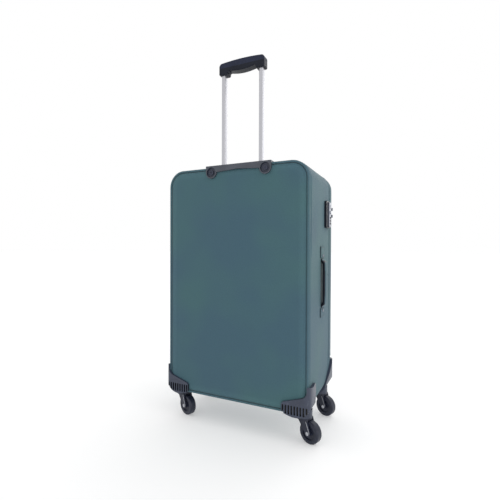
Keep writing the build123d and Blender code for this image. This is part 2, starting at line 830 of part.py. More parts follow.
tab_length = 34.0
low_tab_length = 26.0
tab_wide = handle_wide + 10
tab_thick = 3.5
rivet_in = 7.0
with BuildPart() as side_handle_tabs:
    with BuildSketch(sideways(side)):
        with Locations((handle_y, handle_z + handle_half + 6.3 + tab_length / 2)):
            RectangleRounded(tab_wide, tab_length, 4)
        with Locations((handle_y, handle_z - handle_half - 6.3 - low_tab_length / 2)):
            RectangleRounded(tab_wide, low_tab_length, 4)
    extrude(amount=tab_thick)
write(side_handle_tabs.part, "side_handle_tabs")

with BuildPart() as top_handle_tabs:
    with BuildSketch(Plane.XY.offset(case_top)):
        with Locations(*[(way * (top_handle_half + 6.3 + low_tab_length / 2), top_handle_y) for way in (-1, 1)]):
            RectangleRounded(low_tab_length, tab_wide, 4)
    extrude(amount=tab_thick)
write(top_handle_tabs.part, "top_handle_tabs")

with BuildPart() as handle_rivets:
    with BuildSketch(sideways(side + tab_thick)):
        with Locations(
            (handle_y, handle_z + handle_half + 6.3 + rivet_in), (handle_y, handle_z - handle_half - 6.3 - rivet_in)
        ):
            Circle(4.5)
    extrude(amount=2, taper=25)
    with BuildSketch(Plane.XY.offset(case_top + tab_thick)):
        with Locations(*[(way * (top_handle_half + 6.3 + rivet_in), top_handle_y) for way in (-1, 1)]):
            Circle(4.5)
    extrude(amount=2, taper=25)
write(handle_rivets.part, "handle_rivets")

# Two bumpers on the -X side, with its guards, let the case lie on that side.
bumper_z = 655.0
bumper_places = ((-85.0, bumper_z), (70.0, bumper_z))
with BuildPart() as side_bumpers:
    with BuildSketch(sideways(-side)):
        with Locations(*bumper_places):
            RectangleRounded(18, 60, 8)
    extrude(amount=-guard_proud)
    fillet(side_bumpers.faces().group_by(Axis.X)[0].edges(), 3)
write(side_bumpers.part, "side_bumpers")

# ---------------------------------------------------------------- inside the compartment
strap_z = 430.0
strap_y = body_front - 16
with BuildPart() as packing_straps:
    for way in (-1, 1):
        ends = sorted((way * 28.0, way * (side - wall)))
        add(block((ends[0], strap_y, strap_z - 12), (ends[1], strap_y + 1.6, strap_z + 12)))
write(packing_straps.part, "packing_straps")

with BuildPart() as packing_buckle:
    add(block((-28, strap_y - 4, strap_z - 17), (28, strap_y + 5, strap_z + 17)))
    fillet(packing_buckle.edges().filter_by(Axis.Y), 5)
write(packing_buckle.part, "packing_buckle")
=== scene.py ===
import json
import math

import bpy
from mathutils import Matrix, Vector


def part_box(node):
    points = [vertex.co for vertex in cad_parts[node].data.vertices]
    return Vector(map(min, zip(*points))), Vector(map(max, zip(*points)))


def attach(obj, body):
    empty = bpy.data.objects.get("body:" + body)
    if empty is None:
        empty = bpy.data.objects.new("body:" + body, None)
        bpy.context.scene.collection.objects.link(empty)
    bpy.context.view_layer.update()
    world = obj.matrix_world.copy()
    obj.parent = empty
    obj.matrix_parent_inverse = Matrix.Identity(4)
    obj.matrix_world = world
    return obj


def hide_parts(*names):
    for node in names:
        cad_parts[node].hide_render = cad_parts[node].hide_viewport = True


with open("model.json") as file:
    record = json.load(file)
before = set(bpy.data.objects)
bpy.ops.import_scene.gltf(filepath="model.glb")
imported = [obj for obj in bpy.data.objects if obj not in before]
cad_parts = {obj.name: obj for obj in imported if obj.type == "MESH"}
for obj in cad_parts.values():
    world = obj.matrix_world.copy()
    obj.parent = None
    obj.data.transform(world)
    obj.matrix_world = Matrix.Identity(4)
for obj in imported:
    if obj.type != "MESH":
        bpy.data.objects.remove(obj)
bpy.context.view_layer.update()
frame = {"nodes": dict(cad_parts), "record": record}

bpy.ops.object.select_all(action="DESELECT")

# ---------------------------------------------------------------- camera
# A short lens, 1.1 m from the case and half way up it, off the back right corner. It looks a
# touch downwards and leans a touch to one side.
camera_place = (0.4574, -1.023, 0.523)
azimuth, pitch, lean = 24.94, -0.55, 0.2
bpy.ops.object.camera_add(location=camera_place)
camera = bpy.context.object
camera.name = "view_from_the_back"
turn = Matrix.Rotation(math.radians(azimuth), 4, "Z")
tilt = Matrix.Rotation(math.radians(90 + pitch), 4, "X")
roll = Matrix.Rotation(math.radians(lean), 4, "Z")
camera.rotation_euler = (turn @ tilt @ roll).to_euler()
camera.data.sensor_width = 36
camera.data.lens = 25.7
bpy.context.scene.camera = camera

# ---------------------------------------------------------------- studio
# A white floor that runs off to a white surround, with broad soft lights to the right, behind and
# before the case.
world = bpy.data.worlds.new("white_surround")
world.use_nodes = True
backdrop = world.node_tree.nodes["Background"]
backdrop.inputs["Color"].default_value = (1, 1, 1, 1)
backdrop.inputs["Strength"].default_value = 1.0
bpy.context.scene.world = world
bpy.context.scene.view_settings.view_transform = "Standard"

bpy.ops.mesh.primitive_plane_add(size=60, location=(0, 0, 0))
floor = bpy.context.object
floor.name = "studio_floor"
floor_paint = bpy.data.materials.new("studio_floor")
floor_paint.use_nodes = True
floor_shader = floor_paint.node_tree.nodes["Principled BSDF"]
floor_shader.inputs["Base Color"].default_value = (0.75, 0.75, 0.75, 1)
floor_shader.inputs["Roughness"].default_value = 0.9
floor_shader.inputs["Emission Color"].default_value = (1, 1, 1, 1)
floor_shader.inputs["Emission Strength"].default_value = 0.27
floor.data.materials.append(floor_paint)


def softbox(name, place, size, watts):
    """An area light that faces the middle of the case."""
    bpy.ops.object.light_add(type="AREA", location=place)
    lamp = bpy.context.object
    lamp.name = name
    lamp.data.shape = "RECTANGLE"
    lamp.data.size = size[0]
    lamp.data.size_y = size[1]
    lamp.data.energy = watts
    lamp.rotation_euler = (Vector((0, 0, 0.5)) - Vector(place)).to_track_quat("-Z", "Y").to_euler()


softbox("light_right", (2.4, -0.4, 1.3), (1.2, 2.0), 9)
softbox("light_back", (1.3, -2.2, 0.25), (1.0, 0.8), 10)
softbox("light_lid", (0.5, 2.6, 1.5), (1.6, 1.6), 12)

# ---------------------------------------------------------------- cloth of the case
# Woven polyester, laminated to foam and board: a fine square weave in dark teal that drifts
# a little towards green and blue over a hand's width.
teal = (0.023, 0.068, 0.1)
teal_green = (0.03, 0.096, 0.094)
teal_light = (0.05, 0.118, 0.148)


def shader_of(material):
    return material.node_tree.nodes["Principled BSDF"]


def new_material(name, roughness, metallic=0.0):
    """A material with its even values set, and its place in object space ready to read."""
    material = bpy.data.materials.new(name)
    material.use_nodes = True
    shader = shader_of(material)
    shader.inputs["Roughness"].default_value = roughness
    shader.inputs["Metallic"].default_value = metallic
    place = material.node_tree.nodes.new("ShaderNodeTexCoord")
    return material, material.node_tree, shader, place.outputs["Object"]


def noise(tree, place, scale, detail=3.0):
    node = tree.nodes.new("ShaderNodeTexNoise")
    node.inputs["Scale"].default_value = scale
    node.inputs["Detail"].default_value = detail
    tree.links.new(place, node.inputs["Vector"])
    return node.outputs["Fac"]


def mixed(tree, factor, first, second, low=0.35, high=0.65):
    """A colour that runs from first to second as factor goes from low to high."""
    ramp = tree.nodes.new("ShaderNodeValToRGB")
    ramp.color_ramp.elements[0].position = low
    ramp.color_ramp.elements[1].position = high
    ramp.color_ramp.elements[0].color = (*first, 1)
    ramp.color_ramp.elements[1].color = (*second, 1)
    tree.links.new(factor, ramp.inputs["Fac"])
    return ramp.outputs["Color"]


def blended(tree, factor, first, second, how="MIX"):
    """Two colours mixed by a share; the share and the second colour may be outputs or even values."""
    node = tree.nodes.new("ShaderNodeMix")
    node.data_type = "RGBA"
    node.blend_type = how
    if isinstance(factor, float):
        node.inputs[0].default_value = factor
    else:
        tree.links.new(factor, node.inputs[0])
    tree.links.new(first, node.inputs[6])
    if isinstance(second, tuple):
        node.inputs[7].default_value = (*second, 1)
    else:
        tree.links.new(second, node.inputs[7])
    return node.outputs[2]


def raise_by(tree, shader, height, distance, strength=0.5, before=None):
    """Bump from a height output, on top of another bump where one is given."""
    bump = tree.nodes.new("ShaderNodeBump")
    bump.inputs["Distance"].default_value = distance
    bump.inputs["Strength"].default_value = strength
    tree.links.new(height, bump.inputs["Height"])
    if before is not None:
        tree.links.new(before, bump.inputs["Normal"])
    tree.links.new(bump.outputs["Normal"], shader.inputs["Normal"])
    return bump.outputs["Normal"]


def weave(tree, place, pitch):
    """Height of a square weave of that thread pitch on any face that lies along the axes."""
    scaled = tree.nodes.new("ShaderNodeVectorMath")
    scaled.operation = "SCALE"
    scaled.inputs["Scale"].default_value = math.pi / pitch
    tree.links.new(place, scaled.inputs[0])
    wave = tree.nodes.new("ShaderNodeVectorMath")
    wave.operation = "SINE"
    tree.links.new(scaled.outputs[0], wave.inputs[0])
    humps = tree.nodes.new("ShaderNodeVectorMath")
    humps.operation = "ABSOLUTE"
    tree.links.new(wave.outputs[0], humps.inputs[0])
    total = tree.nodes.new("ShaderNodeVectorMath")
    total.operation = "DOT_PRODUCT"
    total.inputs[1].default_value = (0.4, 0.4, 0.4)
    tree.links.new(humps.outputs[0], total.inputs[0])
    return total.outputs["Value"]


def cloth(name, dark, green, light, pitch=0.0011, sheen=0.1, roughness=0.75):
    """A woven cloth: drifting colour, lighter thread tops, fine slubs and a square weave."""
    material, tree, shader, place = new_material(name, roughness)
    drift = mixed(tree, noise(tree, place, 5.0, 2.0), dark, green, 0.4, 0.62)
    threads = weave(tree, place, pitch)
    tops = mixed(tree, threads, dark, light, 0.15, 0.95)
    slubs = mixed(tree, noise(tree, place, 420.0, 2.0), (0.42, 0.42, 0.42), (0.58, 0.58, 0.58))
    colour = blended(tree, 0.5, drift, tops)
    colour = blended(tree, 0.55, colour, slubs, "OVERLAY")
    tree.links.new(colour, shader.inputs["Base Color"])
    shader.inputs["Sheen Weight"].default_value = sheen
    shader.inputs["Sheen Roughness"].default_value = 0.4
    swell = raise_by(tree, shader, noise(tree, place, 9.0, 2.0), 0.004, 0.35)
    raise_by(tree, shader, threads, 0.0003, 0.45, swell)
    return material


case_cloth = cloth("case_cloth", teal, teal_green, teal_light)
welt_cloth = cloth("welt_cloth", (0.026, 0.07, 0.1), (0.03, 0.088, 0.096), (0.055, 0.118, 0.15), 0.0009)
dark_tape = cloth("dark_tape", (0.012, 0.02, 0.026), (0.014, 0.024, 0.028), (0.03, 0.045, 0.055), 0.0012)
lining_cloth = cloth("lining_cloth", (0.12, 0.125, 0.135), (0.13, 0.135, 0.14), (0.2, 0.205, 0.215), 0.0008)


# ---------------------------------------------------------------- back of the case
# A board panel covered in foam and cloth. Its edge is rolled in to a sewn seam, and a piped welt
# runs all round the seam.
def take(piece):
    """Leave edit mode, and make this piece the only selected one and the active one."""
    if bpy.context.mode != "OBJECT":
        bpy.ops.object.mode_set(mode="OBJECT")
    bpy.ops.object.select_all(action="DESELECT")
    piece.select_set(True)
    bpy.context.view_layer.objects.active = piece


def leave():
    """Go back from edit mode to object mode."""
    bpy.ops.object.mode_set(mode="OBJECT")


def pick(piece, kind, test):
    """Go to edit mode with the vertices, edges or faces that pass a test of place and direction."""
    take(piece)
    bpy.ops.object.mode_set(mode="EDIT")
    bpy.ops.mesh.select_mode(type=kind)
    bpy.ops.mesh.select_all(action="DESELECT")
    leave()
    mesh = piece.data
    if kind == "FACE":
        for face in mesh.polygons:
            face.select = test(face.center, face.normal)
    elif kind == "EDGE":
        for edge in mesh.edges:
            first, last = (mesh.vertices[i].co for i in edge.vertices)
            edge.select = test((first + last) / 2, last - first)
    else:
        for vertex in mesh.vertices:
            vertex.select = test(vertex.co, vertex.normal)
    bpy.ops.object.mode_set(mode="EDIT")


def pick_all(piece):
    """Go to edit mode with the whole mesh selected."""
    pick(piece, "FACE", lambda place, way: True)
    bpy.ops.mesh.select_all(action="SELECT")


def done(piece, body, slot, *materials, smooth=35):
    """Finish a piece: shading, materials and the body it rides on. Its slot argument is not used."""
    take(piece)
    bpy.ops.object.transform_apply(location=True, rotation=True, scale=True)
    if smooth:
        bpy.ops.object.shade_smooth_by_angle(angle=math.radians(smooth))
    for material in materials:
        piece.data.materials.append(material)
    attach(piece, body)


def apply(piece, kind, **values):
    """Add a modifier with these values and apply it."""
    take(piece)
    modifier = piece.modifiers.new(kind.lower(), kind)
    for name, value in values.items():
        setattr(modifier, name, value)
    bpy.ops.object.modifier_apply(modifier=modifier.name)


def face_out(piece):
    """Merge doubles and turn every face outwards."""
    pick_all(piece)
    bpy.ops.mesh.remove_doubles(threshold=0.00002)
    bpy.ops.mesh.normals_make_consistent(inside=False)
    leave()


def level_cut(piece, height, **clear):
    """Cut a piece along a level plane, and drop a side where one is named."""
    pick_all(piece)
    bpy.ops.mesh.bisect(plane_co=(0, 0, height), plane_no=(0, 0, 1), **clear)
    leave()


def named(name):
    """Give the object just made its name, and its mesh the same one."""
    made = bpy.context.object
    made.name = name
    made.data.name = name
    return made


case_low, case_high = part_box("gusset")
case_centre = (case_low + case_high) / 2
case_half = (case_high - case_low) / 2
top_round = 0.048
bottom_round = 0.034
straight_edge = 0.2
welt_size = 0.006
back_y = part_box("back_welt")[0].y
lid_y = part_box("lid_welt")[1].y


def outline(name, y, inset, cuts=0):
    """A face with the case's rounded outline at depth y, drawn in by inset."""
    bpy.ops.object.select_all(action="DESELECT")
    bpy.ops.mesh.primitive_plane_add(
        size=2,
        location=(case_centre.x, y, case_centre.z),
        rotation=(math.radians(90), 0, 0),
    )
    made = named(name)
    made.scale = (case_half.x - inset, case_half.z - inset, 1)
    bpy.ops.object.transform_apply(location=True, rotation=True, scale=True)
    for above, radius in ((True, top_round - inset), (False, bottom_round - inset)):
        pick(made, "VERT", lambda place, way: (place.z > case_centre.z) == above)
        bpy.ops.mesh.bevel(offset=radius, segments=9, affect="VERTICES")
        leave()
    if cuts:
        pick(made, "EDGE", lambda place, along: along.length > straight_edge)
        bpy.ops.mesh.subdivide(number_cuts=cuts)
        leave()
    return made


def cord_round(name, y, inset, thick, above=None):
    """A round cord that follows the case's outline, or only what of it lies above a height."""
    made = outline(name, y, inset)
    if above is not None:
        level_cut(made, above, clear_inner=True)
    pick(made, "FACE", lambda place, way: True)
    bpy.ops.mesh.delete(type="ONLY_FACE")
    leave()
    if above is not None:
        pick(made, "EDGE", lambda place, along: abs(along.z) < 1e-6 and place.z < above + 1e-4)
        bpy.ops.mesh.delete(type="EDGE")
        leave()
    bpy.ops.object.convert(target="CURVE")
    made.data.bevel_depth = thick
    made.data.bevel_resolution = 3
    made.data.use_fill_caps = True
    bpy.ops.object.convert(target="MESH")
    face_out(made)
    return made


def rolled_panel(name, y, inset, way, steps):
    """A panel whose edge rolls up from its seam: steps are (inwards, outwards) moves."""
    made = outline(name, y, inset, 14)
    pick(made, "FACE", lambda place, normal: True)
    for inwards, outwards in steps:
        bpy.ops.mesh.inset(thickness=inwards, depth=0, use_even_offset=True)
        bpy.ops.transform.translate(value=(0, outwards * way, 0))
    leave()
    return made


panel_roll = ((0.0008, 0.0015), (0.0018, 0.0016), (0.003, 0.001), (0.005, 0.0006), (0.012, 0.0004))
panel_thick = 0.003
panel_sunk = 0.0045
panel_inset = welt_size + 0.0006
piping_round = 0.003
piping_sunk = 0.0031
seam_round = 0.0016
seam_sunk = 0.0048
seam_inset = 0.0066
back_cloth = rolled_panel("back_cloth", back_y + panel_sunk, panel_inset, -1, panel_roll)
apply(back_cloth, "SOLIDIFY", thickness=panel_thick, offset=-1.0)
face_out(back_cloth)
done(back_cloth, "case", "shell_cloth", case_cloth)
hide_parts("back_panel")

back_piping = cord_round("back_piping", back_y + piping_sunk, piping_sunk, piping_round)
done(back_piping, "case", "shell_cloth", welt_cloth)
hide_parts("back_welt")

# Painted shade: a dark cord sunk in the seam's gap between the panel's rolled edge and the piping, standing
# in for the shadow in that gap.
back_seam_painted_shade = cord_round("back_seam_painted_shade", back_y + seam_sunk, seam_inset, seam_round)
done(back_seam_painted_shade, "case", "shell_cloth", dark_tape)


# ---------------------------------------------------------------- sides of the body
# One long band of the same cloth, laminated to foam, sewn to the back's welt and bound at the
# zip. It is lined inside, and cut away at the trolley's tray and behind the lock.
def draw_out(stations):
    """Extrude what is selected from the first (depth, inset) station through the others."""
    here, drawn = stations[0]
    for y, inset in stations[1:]:
        bpy.ops.mesh.extrude_region_move(TRANSFORM_OT_translate={"value": (0, y - here, 0)})
        grow_x = (case_half.x - inset) / (case_half.x - drawn)
        grow_z = (case_half.z - inset) / (case_half.z - drawn)
        bpy.ops.transform.resize(value=(grow_x, 1, grow_z), center_override=case_centre)
        here, drawn = y, inset


def band(name, stations):
    """A band round the case through (depth, inset) stations, open at both ends."""
    made = outline(name, *stations[0], edge_cuts)
    pick(made, "FACE", lambda place, way: True)
    bpy.ops.mesh.delete(type="ONLY_FACE")
    bpy.ops.mesh.select_mode(type="EDGE")
    bpy.ops.mesh.select_all(action="SELECT")
    draw_out(stations)
    leave()
    face_out(made)
    turn_out(made, 0)
    return made


def turn_out(piece, axis):
    """Turn an open shell's faces outwards, judged by the face that lies furthest along an axis."""
    furthest = max(piece.data.polygons, key=lambda face: face.center[axis])
    if furthest.normal[axis] < 0:
        pick(piece, "FACE", lambda place, way: True)
        bpy.ops.mesh.flip_normals()
        leave()


def steps_between(low, high, count):
    return [low + (high - low) * i / count for i in range(count + 1)]


def ripple(piece, height, size):
    """Let the cloth swell and sink softly, by less than a millimetre or two."""
    texture = bpy.data.textures.new(piece.name + "_ripple", "CLOUDS")
    texture.noise_scale = size
    texture.noise_depth = 1
    apply(piece, "DISPLACE", texture=texture, strength=height, mid_level=0.5, texture_coords="LOCAL")


def between(low, place, high, margin=0.0):
    """Whether a place lies between two corners, or no further than a margin outside them."""
    return all(a - margin < c < b + margin for a, c, b in zip(low, place, high))


def open_up(piece, low, high, across):
    """Cut a rectangular opening through cloth that faces along the axis named across."""
    for axis in {0, 1, 2} - {across}:
        normal = [0, 0, 0]
        normal[axis] = 1
        for edge in (low, high):
            pick(piece, "FACE", lambda place, way: between(low, place, high, 0.04))
            bpy.ops.mesh.bisect(plane_co=edge, plane_no=normal)
            leave()
    pick(piece, "FACE", lambda place, way: between(low, place, high))
    bpy.ops.mesh.delete(type="FACE")
    leave()


edge_cuts = 24
wall = 0.004
body_start = case_low.y
body_end = case_high.y
stitch_y = body_start + 0.0135
side_stations = [(body_start, 0.0022), (body_start + 0.0015, 0.0012), (body_start + 0.004, 0.0003)]
side_stations += [(stitch_y - 0.001, 0.0), (stitch_y, 0.0007), (stitch_y + 0.001, 0.0)]
side_stations += [(y, 0.0) for y in steps_between(body_start + 0.025, body_end - 0.014, 11)]
side_stations += [(body_end - 0.0085, 0.0), (body_end - 0.0078, 0.0006), (body_end - 0.007, -0.0004)]
side_stations += [(body_end - 0.0008, -0.0004), (body_end, 0.0004)]
body_cloth = band("body_cloth", side_stations)
ripple(body_cloth, 0.0016, 0.16)
tray_low, tray_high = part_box("trolley_bezel")
tray_middle = (tray_low.x + tray_high.x) / 2
tube_low, tube_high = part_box("outer_tubes")
tray_half = 0.0777
tray_room = 0.0095
skin = 0.012
open_up(
    body_cloth,
    (tray_middle - tray_half, tube_low.y - tray_room, case_high.z - skin),
    (tray_middle + tray_half, tube_high.y + tray_room, case_high.z + skin),
    2,
)
lock_low, lock_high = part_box("lock_housing")
open_up(
    body_cloth,
    (lock_low.x - 0.01, lock_low.y + 0.009, lock_low.z + 0.006),
    (case_high.x + 0.01, lock_high.y - 0.004, lock_high.z - 0.006),
    0,
)
apply(body_cloth, "SOLIDIFY", thickness=wall, offset=-1.0, material_offset=1, material_offset_rim=1)
done(body_cloth, "case", "shell_cloth", case_cloth, lining_cloth)
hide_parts("gusset")

side_seam = cord_round("side_seam", stitch_y, 0.0002, 0.0005)
seam_gap = tray_half + 0.001
seam_top = case_high.z - 0.01
for edge in (tray_middle - seam_gap, tray_middle + seam_gap):
    pick(side_seam, "FACE", lambda place, way: place.z > seam_top)
    bpy.ops.mesh.bisect(plane_co=(edge, 0, 0), plane_no=(1, 0, 0))
    leave()
pick(side_seam, "FACE", lambda place, way: abs(place.x - tray_middle) < seam_gap and place.z > seam_top)
bpy.ops.mesh.delete(type="FACE")
bpy.ops.mesh.select_all(action="SELECT")
bpy.ops.mesh.fill_holes(sides=0)
leave()
done(side_seam, "case", "shell_cloth", welt_cloth)

# ---------------------------------------------------------------- front below the lid
# The same cloth closes the front up to the lid's hinge, and turns under the case in a soft nose.
nose_round = 0.044
lower_low, lower_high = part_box("lower_front")
front_roll = [(lower_low.y, 0.0004), (lower_low.y + 0.0012, 0.0), (lid_y - 0.012, 0.0)]
front_roll += [(lid_y - 0.006, 0.0006), (lid_y - 0.003, 0.0018), (lid_y - 0.0012, 0.0036)]
lower_cloth = outline("lower_cloth", *front_roll[0], edge_cuts)
pick(lower_cloth, "FACE", lambda place, way: True)
draw_out(front_roll)
for inwards, outwards in ((0.003, 0.0002), (0.006, 0.0001)):
    bpy.ops.mesh.inset(thickness=inwards, depth=0, use_even_offset=True)
    bpy.ops.transform.translate(value=(0, outwards, 0))
leave()
pick(lower_cloth, "FACE", lambda place, way: place.y < lower_low.y + 0.0001)
bpy.ops.mesh.delete(type="FACE")
leave()
level_cut(lower_cloth, lower_high.z - 0.0004, clear_outer=True)
for below_top in (0.03, 0.05):
    level_cut(lower_cloth, lower_high.z - below_top)
nose_y = lid_y - nose_round
nose_z = case_low.z + nose_round
for height in steps_between(nose_z - nose_round * 0.9, nose_z, 7):
    level_cut(lower_cloth, height)
for vertex in lower_cloth.data.vertices:
    forward = vertex.co.y - nose_y
    down = nose_z - vertex.co.z
    if forward > 0 and down > 0:
        share = max(forward, down) / math.hypot(forward, down)
        vertex.co.y = nose_y + forward * share
        vertex.co.z = nose_z - down * share
turn_out(lower_cloth, 1)
apply(lower_cloth, "SOLIDIFY", thickness=panel_thick, offset=-1.0, material_offset=1, material_offset_rim=1)
face_out(lower_cloth)
done(lower_cloth, "case", "shell_cloth", case_cloth, lining_cloth)
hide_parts("lower_front")

# ---------------------------------------------------------------- lid
# The lid is made like the body: a narrow band, a rolled front panel and a piped welt between
# them. All three end level with its hinge.
lid_low, lid_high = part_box("lid_gusset")
hinge_z = lid_low.z
lid_stations = [(lid_low.y, 0.0004), (lid_low.y + 0.0008, -0.0004), (lid_low.y + 0.007, -0.0004)]
lid_stations += [(lid_low.y + 0.0078, 0.0006), (lid_low.y + 0.0085, 0.0), (lid_high.y - 0.006, 0.0)]
lid_stations += [(lid_high.y - 0.002, 0.0004), (lid_high.y, 0.0018)]
lid_cloth = band("lid_cloth", lid_stations)
level_cut(lid_cloth, hinge_z, clear_inner=True)
apply(lid_cloth, "SOLIDIFY", thickness=wall, offset=-1.0, material_offset=1, material_offset_rim=1)
done(lid_cloth, "lid", "shell_cloth", case_cloth, lining_cloth)
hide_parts("lid_gusset")

lid_face = rolled_panel("lid_face", lid_y - panel_sunk, panel_inset, 1, panel_roll)
level_cut(lid_face, hinge_z, clear_inner=True)
apply(lid_face, "SOLIDIFY", thickness=panel_thick, offset=-1.0, material_offset=1, material_offset_rim=1)
face_out(lid_face)
done(lid_face, "lid", "shell_cloth", case_cloth, lining_cloth)
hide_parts("lid_panel")

lid_piping = cord_round("lid_piping", lid_y - piping_sunk, piping_sunk, piping_round, above=hinge_z)
done(lid_piping, "lid", "shell_cloth", welt_cloth)
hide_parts("lid_welt")

# Painted shade: a dark cord sunk in the seam's gap between the lid panel's rolled edge and the piping,
# standing in for the shadow in that gap.
lid_seam_painted_shade = cord_round("lid_seam_painted_shade", lid_y - seam_sunk, seam_inset, seam_round, above=hinge_z)
done(lid_seam_painted_shade, "lid", "shell_cloth", dark_tape)

# ---------------------------------------------------------------- zip
# A nylon coil zip: each half is a woven tape with its coil sewn along the edge. It runs up one
# side, over the top and down the other.
coil, tree, shader, place = new_material("zip_coil", 0.38)
turns = tree.nodes.new("ShaderNodeTexWave")
turns.bands_direction = "DIAGONAL"
turns.inputs["Scale"].default_value = 160.0
tree.links.new(place, turns.inputs["Vector"])
nylon = mixed(tree, turns.outputs["Fac"], (0.01, 0.013, 0.016), (0.05, 0.058, 0.066))
tree.links.new(nylon, shader.inputs["Base Color"])
raise_by(tree, shader, turns.outputs["Fac"], 0.0008, 0.8)

zip_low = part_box("zip_tape_body")[0].z
zip_middle = (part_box("zip_tape_body")[1].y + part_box("zip_tape_lid")[0].y) / 2
coil_from_middle = 0.0013
coil_inset = 0.0017
coil_thick = 0.00115
for name, body, node, way in (
    ("zip_half_body", "case", "zip_tape_body", -1),
    ("zip_half_lid", "lid", "zip_tape_lid", 1),
):
    coil_y = zip_middle + way * coil_from_middle
    coil_cord = cord_round(name + "_coil", coil_y, coil_inset, coil_thick, above=zip_low)
    done(coil_cord, body, "zip_cloth", coil)
    tape = band(name, [(zip_middle + way * 0.0011, 0.0026), (zip_middle + way * 0.0034, 0.0012)])
    level_cut(tape, zip_low, clear_inner=True)
    apply(tape, "SOLIDIFY", thickness=0.0009, offset=-1.0)
    face_out(tape)
    done(tape, body, "zip_cloth", dark_tape)
    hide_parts(node)


# ---------------------------------------------------------------- padded pieces
# The front pocket and the two carrying handles are cloth sewn round foam, so they are swelled
# out from their plain shapes like stuffed forms.
def swelled(name, node, voxel, pressure, reach, frames=20):
    """A copy of a plain shape, puffed out by cloth pressure, with no point moved beyond reach."""
    bpy.ops.object.select_all(action="DESELECT")
    source = frame["nodes"][node]
    made = bpy.data.objects.new(name, source.data.copy())
    made.data.name = name
    made.data.materials.clear()
    bpy.context.scene.collection.objects.link(made)
    face_out(made)
    apply(made, "REMESH", mode="VOXEL", voxel_size=voxel)
    apply(made, "SMOOTH", factor=0.5, iterations=4)
    rest = [vertex.co.copy() for vertex in made.data.vertices]
    cloth_sim = made.modifiers.new("puff", "CLOTH")
    cloth_sim.settings.use_pressure = True
    cloth_sim.settings.uniform_pressure_force = pressure
    cloth_sim.settings.effector_weights.gravity = 0
    cloth_sim.settings.quality = 5
    cloth_sim.settings.mass = 0.3
    cloth_sim.point_cache.frame_end = frames
    for number in range(1, frames + 1):
        bpy.context.scene.frame_set(number)
    bpy.context.view_layer.update()
    puffed = made.evaluated_get(bpy.context.evaluated_depsgraph_get())
    moved = [vertex.co.copy() for vertex in puffed.data.vertices]
    made.modifiers.remove(cloth_sim)
    for vertex, start, end in zip(made.data.vertices, rest, moved):
        step = end - start
        vertex.co = start + step * min(1, reach / max(step.length, 1e-9))
    bpy.context.scene.frame_set(1)
    return made


def smooth_over(piece):
    for face in piece.data.polygons:
        face.use_smooth = True


front_pocket = swelled("front_pocket_cloth", "front_pocket", 0.004, 3.0, 0.004)
for vertex in front_pocket.data.vertices:
    vertex.co.y = max(vertex.co.y, lid_y - 0.0008)
apply(front_pocket, "SUBSURF", levels=1, render_levels=1)
done(front_pocket, "lid", "shell_cloth", case_cloth, smooth=0)
smooth_over(front_pocket)
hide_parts("front_pocket")

strap_rubber, tree, shader, place = new_material("strap_underside", 0.5)
shader.inputs["Specular IOR Level"].default_value = 0.2
rubber = mixed(tree, noise(tree, place, 60.0), (0.004, 0.006, 0.012), (0.008, 0.011, 0.02))
tree.links.new(rubber, shader.inputs["Base Color"])
raise_by(tree, shader, noise(tree, place, 900.0, 2.0), 0.0004, 0.4)
strap_cloth = cloth("strap_cloth", (0.024, 0.068, 0.098), (0.028, 0.085, 0.092), (0.05, 0.11, 0.142), 0.0013)

strap_gap = 0.0003
for name, node, out in (
    ("side_handle_strap", "side_handle", Vector((1, 0, 0))),
    ("top_handle_strap", "top_handle", Vector((0, 0, 1))),
):
    strap = swelled(name, node, 0.0026, 2.0, 0.0012)
    case_face = case_high.x if out.x else case_high.z
    for vertex in strap.data.vertices:
        lift = vertex.co.dot(out) - case_face
        if lift < strap_gap:
            vertex.co += out * (strap_gap - lift)
    apply(strap, "SUBSURF", levels=1, render_levels=1)
    done(strap, "case", "strap_cloth", strap_rubber, strap_cloth, smooth=0)
    smooth_over(strap)
    for face in strap.data.polygons:
        face.material_index = 1 if face.normal.dot(out) > 0.75 else 0
    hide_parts(node)


# ---------------------------------------------------------------- handle tabs
# Each handle end meets a tab of the case's cloth, folded in at its edges, sewn round and
# riveted. Its edge and its line of stitches are dark.
def rounded_slab(name, low, high, corner, thin):
    """A slab whose thin direction is an axis, rounded in plan."""
    middle = [(a + b) / 2 for a, b in zip(low, high)]
    size = [b - a for a, b in zip(low, high)]
    bpy.ops.object.select_all(action="DESELECT")
    bpy.ops.mesh.primitive_cube_add(size=1, location=middle, scale=size)
    made = named(name)
    bpy.ops.object.transform_apply(location=True, rotation=True, scale=True)
    pick(made, "EDGE", lambda place, along: abs(along[thin]) > 0.9 * along.length)
    bpy.ops.mesh.bevel(offset=corner, segments=6, affect="EDGES")
    leave()
    return made


def roll_edge(made, thin, out, *rings):
    """Inset the outer face of a slab in rings of (inwards, outwards)."""
    pick(made, "FACE", lambda place, way: way[thin] * out > 0.9)
    for inwards, outwards in rings:
        bpy.ops.mesh.inset(thickness=inwards, depth=0, use_even_offset=True)
        step = [0, 0, 0]
        step[thin] = outwards * out
        bpy.ops.transform.translate(value=step)
    leave()


def handle_tab(name, low, high, thin):
    """One tab, with its side walls and the sunk line of its stitches in dark tape."""
    made = rounded_slab(name, low, high, tab_corner, thin)
    roll_edge(made, thin, 1, *tab_rings)
    done(made, "case", "strap_cloth", case_cloth, dark_tape)
    for face in made.data.polygons:
        if abs(face.normal[thin]) < 0.8:
            face.material_index = 1
    return made


tab_rings = ((0.0007, 0.0004), (0.0016, 0.0001), (0.0005, -0.0006), (0.0005, 0.0006))
tab_corner = 0.004
tab_gap = 0.0003
tab_sunk = 0.0008
side_low, side_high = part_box("side_handle_tabs")
strap_low, strap_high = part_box("side_handle")
side_out = side_high.x - tab_sunk
upper_start = (side_low.x, side_low.y, strap_high.z + tab_gap)
lower_end = (side_out, side_high.y, strap_low.z - tab_gap)
upper_tab = handle_tab("side_tab_upper", upper_start, (side_out, side_high.y, side_high.z), 0)
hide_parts("side_handle_tabs")
handle_tab("side_tab_lower", side_low, lower_end, 0)

